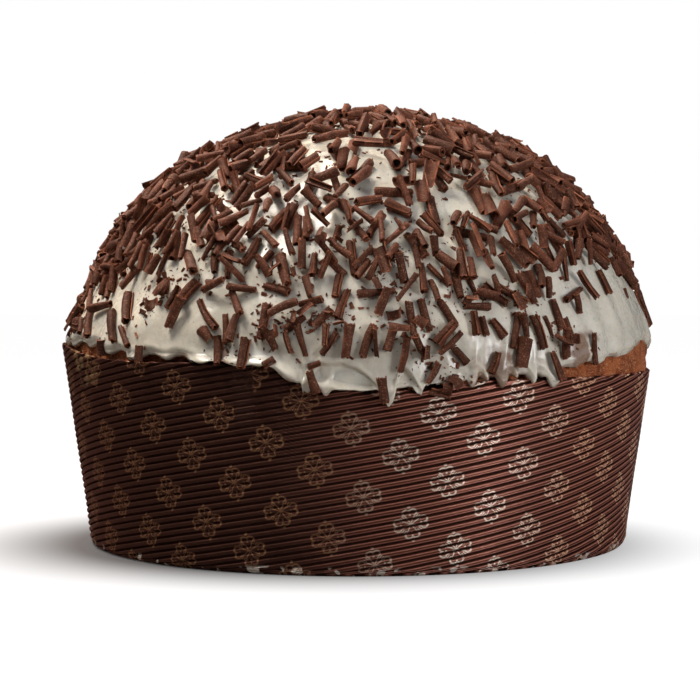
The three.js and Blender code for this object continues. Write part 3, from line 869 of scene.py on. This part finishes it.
class Heap:
    """Collects many small closed shapes as one mesh with a map and a tone for each shape."""

    def __init__(self):
        self.points, self.faces, self.maps, self.tones, self.rims, self.count = [], [], [], [], [], 0

    def add(self, points, faces, uv, tone, rims=0.0):
        self.points.append(points)
        self.faces.extend([tuple(k + self.count for k in face) for face in faces])
        self.maps.append(uv)
        self.tones.append(np.full(len(points), tone))
        self.rims.append(np.full(len(points), rims))
        self.count += len(points)

    def build(self, name, sharp):
        mesh = bpy.data.meshes.new(name)
        mesh.from_pydata((np.concatenate(self.points) * MM).tolist(), [], self.faces)
        write_value(mesh, "tone", np.concatenate(self.tones))
        write_value(mesh, "rim", np.concatenate(self.rims))
        layer = mesh.uv_layers.new(name="roll")
        corners = np.empty(len(mesh.loops), dtype=int)
        mesh.loops.foreach_get("vertex_index", corners)
        layer.data.foreach_set("uv", np.concatenate(self.maps)[corners].ravel().astype(np.float32))
        mesh.polygons.foreach_set("use_smooth", [True] * len(mesh.polygons))
        mesh.set_sharp_from_angle(angle=math.radians(sharp))
        mesh.update()
        piece = bpy.data.objects.new(name, mesh)
        scene.collection.objects.link(piece)
        return piece


RIM = 0.09


def roll_shape(draw, length, radius, turns, sheet, around, rings):
    """A rolled shaving along Z: a spiral strip with two faces, ragged at its ends."""
    spiral = np.linspace(0, 1, around)
    swing = spiral * turns * 2 * math.pi
    inner = radius - sheet * 2.5 * max(turns - 0.85, 0) - sheet
    reach = inner + (radius - inner) * spiral
    bend = draw.uniform(-0.05, 0.05) * length
    taper = draw.uniform(-0.2, 0.2)
    pinch = draw.uniform(0.85, 1.0)
    ragged = [np.array([draw.uniform(-1, 1) for _ in range(around)]) for _ in range(2)]
    points, uv, rims = [], [], []
    # The outermost rings stand close to the ends, so the paler broken rims stay narrow.
    steps = [-1, *np.linspace(-1 + RIM, 1 - RIM, rings - 2), 1]
    for k, t in enumerate(steps):
        size = 1 + taper * t
        torn = (ragged[0] if t < 0 else ragged[1]) * (0.03 * length + 0.12) * (abs(t) == 1)
        drift = bend * (t * t - 0.33)
        wobble = 1 + 0.05 * math.sin(k * 2.1 + bend * 9)
        for thick in (0, -sheet):
            ring = (reach + thick) * size * wobble
            x = ring * np.cos(swing) + drift
            y = ring * np.sin(swing) * pinch
            points.append(np.stack([x, y, t * length / 2 + torn], 1))
            uv.append(np.stack([swing * radius, np.full(around, t * length / 2)], 1))
            # Inner faces of the inner turns are marked -1, for the painted shade in the hollow.
            shaded_hollow = (thick < 0) & (spiral * turns < turns - 0.9)
            rims.append(np.where(shaded_hollow, -1.0, np.where(spiral > 0.99, 1.0, float(abs(t) == 1))))
    faces = []
    ring_at = lambda k, layer: (2 * k + layer) * around
    for k in range(rings - 1):
        outer_a, outer_b = ring_at(k, 0), ring_at(k + 1, 0)
        inner_a, inner_b = ring_at(k, 1), ring_at(k + 1, 1)
        for i in range(around - 1):
            faces.append((outer_a + i, outer_a + i + 1, outer_b + i + 1, outer_b + i))
            faces.append((inner_a + i, inner_b + i, inner_b + i + 1, inner_a + i + 1))
        faces.append((outer_a, outer_b, inner_b, inner_a))
        i = around - 1
        faces.append((outer_a + i, inner_a + i, inner_b + i, outer_b + i))
    first, last_ring = ring_at(0, 0), ring_at(rings - 1, 0)
    for i in range(around - 1):
        faces.append((first + i, first + around + i, first + around + i + 1, first + i + 1))
        faces.append((last_ring + i, last_ring + i + 1, last_ring + around + i + 1, last_ring + around + i))
    return np.concatenate(points), faces, np.concatenate(uv), np.concatenate(rims)


def on_its_back(points, radius, turns, share):
    """Moves a wide open shard so that its sheet lies on the axis, not the middle of its curve."""
    middle = turns * math.pi
    return points - [radius * share * math.cos(middle), radius * share * math.sin(middle), 0]


def stand(points, centre, axis, out, roll):
    """Turns a shape that was made along Z to lie along the axis, rolled about it."""
    side = axis.cross(out).normalized()
    up = side.cross(axis)
    x = np.array(side) * math.cos(roll) + np.array(up) * math.sin(roll)
    y = np.cross(np.array(axis), x)
    return points[:, :1] * x + points[:, 1:2] * y + points[:, 2:] * np.array(axis) + np.array(centre)


draw = random.Random(8)


def add_roll(heap, spot, length, radius, turns, sheet, detail, palest, roll=None, back=0):
    """Makes a roll or an open shard, lays it in its place and adds it to its heap."""
    centre, axis, out = spot
    shape, faces, uv, rims = roll_shape(draw, length, radius, turns, sheet, *detail)
    if back:
        shape = on_its_back(shape, radius, turns, back)
    if roll is None:
        roll = draw.uniform(0, 2 * math.pi)
    heap.add(stand(shape, centre, axis, out, roll), faces, uv, draw.random() * palest, rims)


def palest_with_shade_at(steep):
    """The chocolate is painted darker low down, as shade."""
    return 1 - 0.6 * ease(62, 80, steep)


big, small, broken = Heap(), (Heap(), Heap()), Heap()
LARGE_WIDER, LARGE_FULLER = 1.12, 1.04
for angle, steep, heading, length, radius, roll in large_curls():
    radius = radius * LARGE_WIDER
    spot = lay(angle, steep, heading, length, radius, 9)
    turns, sheet = draw.uniform(1.3, 1.8), draw.uniform(0.32, 0.45)
    add_roll(big, spot, length, LARGE_FULLER * radius, turns, sheet, (17, 6), palest_with_shade_at(steep), roll)

# Where the finer curls lie closer or are missing: angle, degrees from the top, spread in degrees, change.
FINE_PATCHES = [
    (-48, 50, 9, 0.35), (6, 46, 6, -0.7), (-8, 59, 9, 0.4), (14, 63, 9, 0.4), (-36, 85, 9, -1.0),
    (-48, 80, 8, -1.1), (-60, 84, 6, -0.6), (60, 77, 9, -1.2), (66, 85, 12, -1.2), (48, 84, 7, -0.8),
    (-12, 50, 6, -0.6), (2, 56, 7, -0.7), (13, 56, 6, -0.7), (25, 57, 6, -0.5), (-12, 68, 6, -0.5),
    (0, 43, 6, -0.4), (-25, 57, 5, -0.4), (14, 31, 5, -0.4), (-10, 31, 5, -0.4), (-26, 80, 7, -0.4),
    (12, 70, 5, -0.3), (24, 73, 5, -0.4), (-2, 86, 8, -0.3), (48, 70, 6, -0.4), (-150, 80, 16, -0.9),
    (140, 82, 14, -0.9), (100, 76, 9, -0.6), (-112, 80, 9, -0.7), (26, 56, 6, -0.7), (-42, 20, 8, -0.9),
    (0, 20, 7, -0.6), (-60, 26, 6, -0.6), (-12, 26, 5, -0.3), (170, 60, 8, -0.6), (-130, 50, 7, -0.5),
    (120, 55, 8, -0.5), (-175, 84, 10, -0.8), (80, 60, 6, -0.4),
]
MOST_CURLS, MOST_TRIES = 1620, 17000
CLUMP_SIZE = 11
ROLLED_SHARE, HEADS_DOWN_SHARE = 0.8, 0.72
HIGHEST, HIGHEST_SHARD = 2.6, 4.2
tries = 0
while len(laid) < MOST_CURLS and tries < MOST_TRIES:
    tries += 1
    steep = math.degrees(math.acos(draw.uniform(-0.06, 1)))
    angle = draw.uniform(-180, 180)
    clump = noise.noise(smooth_place(angle, steep) / CLUMP_SIZE)
    if steep > 83 and abs(abs(angle) - 90) < 17:
        continue
    few = 0.13 + 0.27 * bump(angle, 8, 22) if in_front(angle, steep) else 1.0
    if draw.random() > few * curl_chance(angle, steep, FINE_PATCHES, 0.25) * (0.85 + 0.9 * clump):
        continue
    heading = draw.gauss(0, 30) if draw.random() < HEADS_DOWN_SHARE else draw.uniform(-90, 90)
    kind = draw.random()
    sides = bump(angle, -95, 50) + bump(angle, 95, 35)
    highest = HIGHEST - 0.9 * sides - 0.5 * bump(angle, -110, 60) * ease(45, 25, steep)
    if kind < ROLLED_SHARE:
        length = draw.uniform(6.5, 11)
        radius = draw.uniform(1.2, 1.75) * (1.2 - 0.2 * ease(45, 62, steep))
        spot = lay(angle, steep, heading, length, radius, highest)
        turns, sheet = draw.uniform(1.3, 1.8), draw.uniform(0.28, 0.4)
        heap, detail, back = small[len(laid) % 2], (14, 5), 0
    else:
        length, radius = draw.uniform(5, 11), draw.uniform(1.5, 2.6)
        spot = lay(angle, steep, heading, length, radius * 0.6, highest)
        turns, sheet = draw.uniform(0.35, 0.7), draw.uniform(0.3, 0.45)
        heap, detail, back = broken, (9, 4), 0.55
    if spot:
        add_roll(heap, spot, length, radius, turns, sheet, detail, palest_with_shade_at(steep), back=back)

# Shards and crumbs heap up at these places: angle, degrees from the top, spread in degrees, shards.
CLUSTERS = [
    (7, 71, 3, 3), (5, 76.5, 2.5, 2), (-4, 84.5, 2.5, 4), (12, 92.5, 3, 4), (-41, 76.5, 2.5, 4),
    (-42.5, 82, 2.5, 3), (-11.5, 83.5, 3, 7), (20, 80, 2.5, 3), (16, 96.5, 2, 3), (37.5, 86.5, 2, 3),
    (-23, 91, 2, 3), (-28, 66.5, 3, 3), (-5.5, 66, 3, 3), (-66, 86, 4, 4), (10, 86, 4, 4),
    (30, 81, 3, 3), (-31, 74, 3, 3), (62, 66, 4, 4), (-14, 73, 3, 4), (120, 82, 4, 5), (-140, 80, 4, 5),
    (178, 76, 5, 5), (-100, 78, 4, 4), (84, 68, 4, 4),
]
for centre_angle, centre_steep, spread, shards in CLUSTERS:
    for _ in range(shards):
        angle, steep = draw.gauss(centre_angle, spread * 0.6), draw.gauss(centre_steep, spread * 0.6)
        length, radius, turns = draw.uniform(2.6, 6.5), draw.uniform(1.6, 3.2), draw.uniform(0.2, 0.5)
        spot = lay(angle, steep, draw.uniform(-90, 90), length, radius * 0.5, HIGHEST_SHARD)
        if spot:
            add_roll(broken, spot, length, radius, turns, draw.uniform(0.28, 0.42), (7, 5), 0.6, back=0.6)

CHOCOLATE_DARK, CHOCOLATE_LIGHT = (0.054, 0.017, 0.0085), (0.15, 0.047, 0.0245)
SCRAPED_STREAK, BROKEN_RIM, BRIGHT_SPECK = (0.2, 0.075, 0.045), (0.3, 0.092, 0.042), (0.42, 0.23, 0.16)
HOLLOW_SHADE, BLOTCH = (0.014, 0.005, 0.003), (0.04, 0.0125, 0.007)
chocolate, tree, shader, place = material("milk_chocolate")
scraped = tree.nodes.new("ShaderNodeUVMap")
scraped.uv_map = "roll"
lined = node(tree, "ShaderNodeMapping", scraped.outputs[0], None, None, (0.12, 1.0, 1.0)).outputs[0]
streaks = noise_value(lined, 2.2, 5, 0.65)
grainy = noise_value(place, 1300, 4, 0.65)
specks = between(noise_value(place, 2600, 2, 0.5), 0.58, 0.64)
blotch = between(noise_value(place, 260, 2, 0.5), 0.35, 0.6, 1.0, 0.0)
rim = written_value(tree, "rim")
brown = tint(written_value(tree, "tone"), CHOCOLATE_DARK, CHOCOLATE_LIGHT)
brown = tint(between(streaks, 0.42, 0.8, 0.0, 0.5), brown, SCRAPED_STREAK)
brown = tint(times(between(rim, 0.35, 0.9), 0.8), brown, BROKEN_RIM)
brown = tint(times(specks, 0.5), brown, BRIGHT_SPECK)
# Inside each roll's hollow the chocolate is painted dark as shade.
brown = tint(between(rim, -1.0, -0.2, 0.85, 0.0), brown, HOLLOW_SHADE)
dress(
    shader,
    Base_Color=tint(times(blotch, 0.6), brown, BLOTCH),
    Roughness=between(grainy, 0.3, 0.7, 0.42, 0.66),
    Specular_IOR_Level=0.2,
    Specular_Tint=(1, 0.62, 0.48, 1),
    Normal=relief(plus(times(streaks, 0.4), grainy), 0.7, 0.0004),
)
heaps = {"curls_large": big, "curls_fine_a": small[0], "curls_fine_b": small[1], "curls_broken": broken}
for name, heap in heaps.items():
    piece = heap.build(name, 50)
    piece.data.materials.append(chocolate)
    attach(piece, "root")


# Crumbs: splinters and shards of the shavings, strewn between the curls and stuck in the glaze.
# The largest are a couple of millimetres long, the finest are specks.
crumbs = Heap()
strewn = []
SQUARE = ((-1, -1), (1, -1), (1, 1), (-1, 1))
CORNERS = np.array([(x, y, z) for z in (-1, 1) for x, y in SQUARE], dtype=float)
SIDES_OF_BOX = [(0, 3, 2, 1), (4, 5, 6, 7), (0, 1, 5, 4), (1, 2, 6, 5), (2, 3, 7, 6), (3, 0, 4, 7)]
CRUMB_TRIES = 7000
CRUMBS_TO_A_SHARD = 12
for _ in range(CRUMB_TRIES):
    steep = math.degrees(math.acos(draw.uniform(-0.05, 1)))
    angle = draw.uniform(-180, 180)
    drift = noise.noise(smooth_place(angle, steep) / 9 + Vector((40, 0, 0)))
    if draw.random() < (0.2 + 0.8 * curl_chance(angle, steep, FINE_PATCHES)) * (0.35 + 2.2 * max(drift, 0)):
        strewn.append((angle, steep))
for centre_angle, centre_steep, spread, shards in CLUSTERS:
    for _ in range(CRUMBS_TO_A_SHARD * shards):
        strewn.append((draw.gauss(centre_angle, spread), draw.gauss(centre_steep, spread)))
for angle, steep in strewn:
    here, out, along = resting_frame(angle, steep, draw.uniform(-90, 90))
    size = 0.28 + 0.85 * draw.random() ** 2.6
    wide = np.array([size * draw.uniform(0.3, 0.6), size * draw.uniform(0.2, 0.5), size])
    chipped = np.array([[draw.uniform(0.45, 1.2) for _ in range(3)] for _ in range(8)])
    shape = CORNERS * wide * chipped
    centre = here + out * (on_skin(here, out) + 0.15 * size)
    turned = stand(shape, centre, along, out, draw.uniform(0, 6.28))
    crumbs.add(turned, SIDES_OF_BOX, shape[:, :2], draw.random(), 0.62)
piece = crumbs.build("chocolate_crumbs", 30)
piece.data.materials.append(chocolate)
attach(piece, "root")


# Floor, light and camera: a white studio sweep. A large soft warm lamp stands high at the front left,
# and a cooler upright panel at the right front lays the sheen on the paper.
bpy.ops.mesh.primitive_plane_add(size=12)
floor = bpy.context.object
floor.name = "studio_floor"
ground, tree, shader, place = material("white_floor")
stretched = node(tree, "ShaderNodeMapping", place, (0.0153, 0.0121, 0), None, (1, 1.138, 1)).outputs[0]
away = node(tree, "ShaderNodeVectorMath", stretched, operation="LENGTH").outputs["Value"]
seen = tree.nodes.new("ShaderNodeLightPath").outputs["Is Camera Ray"]
# For the camera the floor glows white away from the case and fades to a painted shadow round it, over a
# darker base.
clear_of_painted_shadow = sums("POWER", between(away, 0.0838, 0.1477), 0.644)
dress(
    shader,
    Base_Color=tint(seen, (0.16, 0.155, 0.15), (0.1, 0.095, 0.095)),
    Roughness=0.9,
    Specular_IOR_Level=0.0,
    Emission_Color=(1, 1, 1, 1),
    Emission_Strength=times(seen, plus(times(clear_of_painted_shadow, 0.92), 0.05)),
)
floor.data.materials.append(ground)

world = bpy.data.worlds.new("studio")
scene.world = world
world.use_nodes = True
tree = world.node_tree
seen = tree.nodes.new("ShaderNodeLightPath").outputs["Is Camera Ray"]
back = tree.nodes["Background"]
aloft = tree.nodes.new("ShaderNodeTexCoord").outputs["Generated"]
skyward = node(tree, "ShaderNodeSeparateXYZ", aloft).outputs["Z"]
dome_light = tint(between(skyward, -0.1, 0.9), (0.02, 0.02, 0.022), (0.25, 0.255, 0.27))
fill(back.inputs["Color"], tint(seen, dome_light, (1, 1, 1)))
back.inputs["Strength"].default_value = 1.0


def lamp(name, place, aim, size, power, colour):
    data = bpy.data.lights.new(name, "AREA")
    data.shape = "RECTANGLE"
    data.size, data.size_y = size
    data.energy = power
    data.color = colour
    light = bpy.data.objects.new(name, data)
    scene.collection.objects.link(light)
    light.location = place
    light.rotation_euler = (Vector(aim) - Vector(place)).to_track_quat("-Z", "Y").to_euler()


# The key and the light on the top, the panel and the strip for the sheen, and a weak cool fill.
lamp("key_top_left", (-0.46, -0.24, 1.12), (0, 0, 0.1), (0.4, 0.4), 12.0, (1, 0.94, 0.87))
lamp("panel_right", (0.66, -0.64, 0.16), (0, 0, 0.05), (0.24, 0.42), 4.3, (0.96, 0.96, 1))
lamp("top_back", (-0.3, 0.26, 0.85), (0, 0, 0.12), (0.35, 0.35), 8.0, (1, 0.84, 0.72))
lamp("strip_front", (-0.25, -0.9, 0.8), (0, 0, 0.1), (0.5, 0.06), 1.2, (0.93, 0.96, 1))
lamp("fill_right", (0.9, -0.1, 0.55), (0, 0, 0.1), (0.4, 0.4), 0.6, (0.72, 0.86, 1))

camera = bpy.data.objects.new("camera", bpy.data.cameras.new("camera"))
scene.collection.objects.link(camera)
camera.location = (-0.0028, -0.6805, 0.0899)
camera.rotation_euler = (math.radians(90 - 1.841), 0, 0)
camera.data.lens = 96.7
camera.data.sensor_width = 36
scene.camera = camera
scene.view_settings.view_transform = "Standard"
scene.view_settings.look = "None"
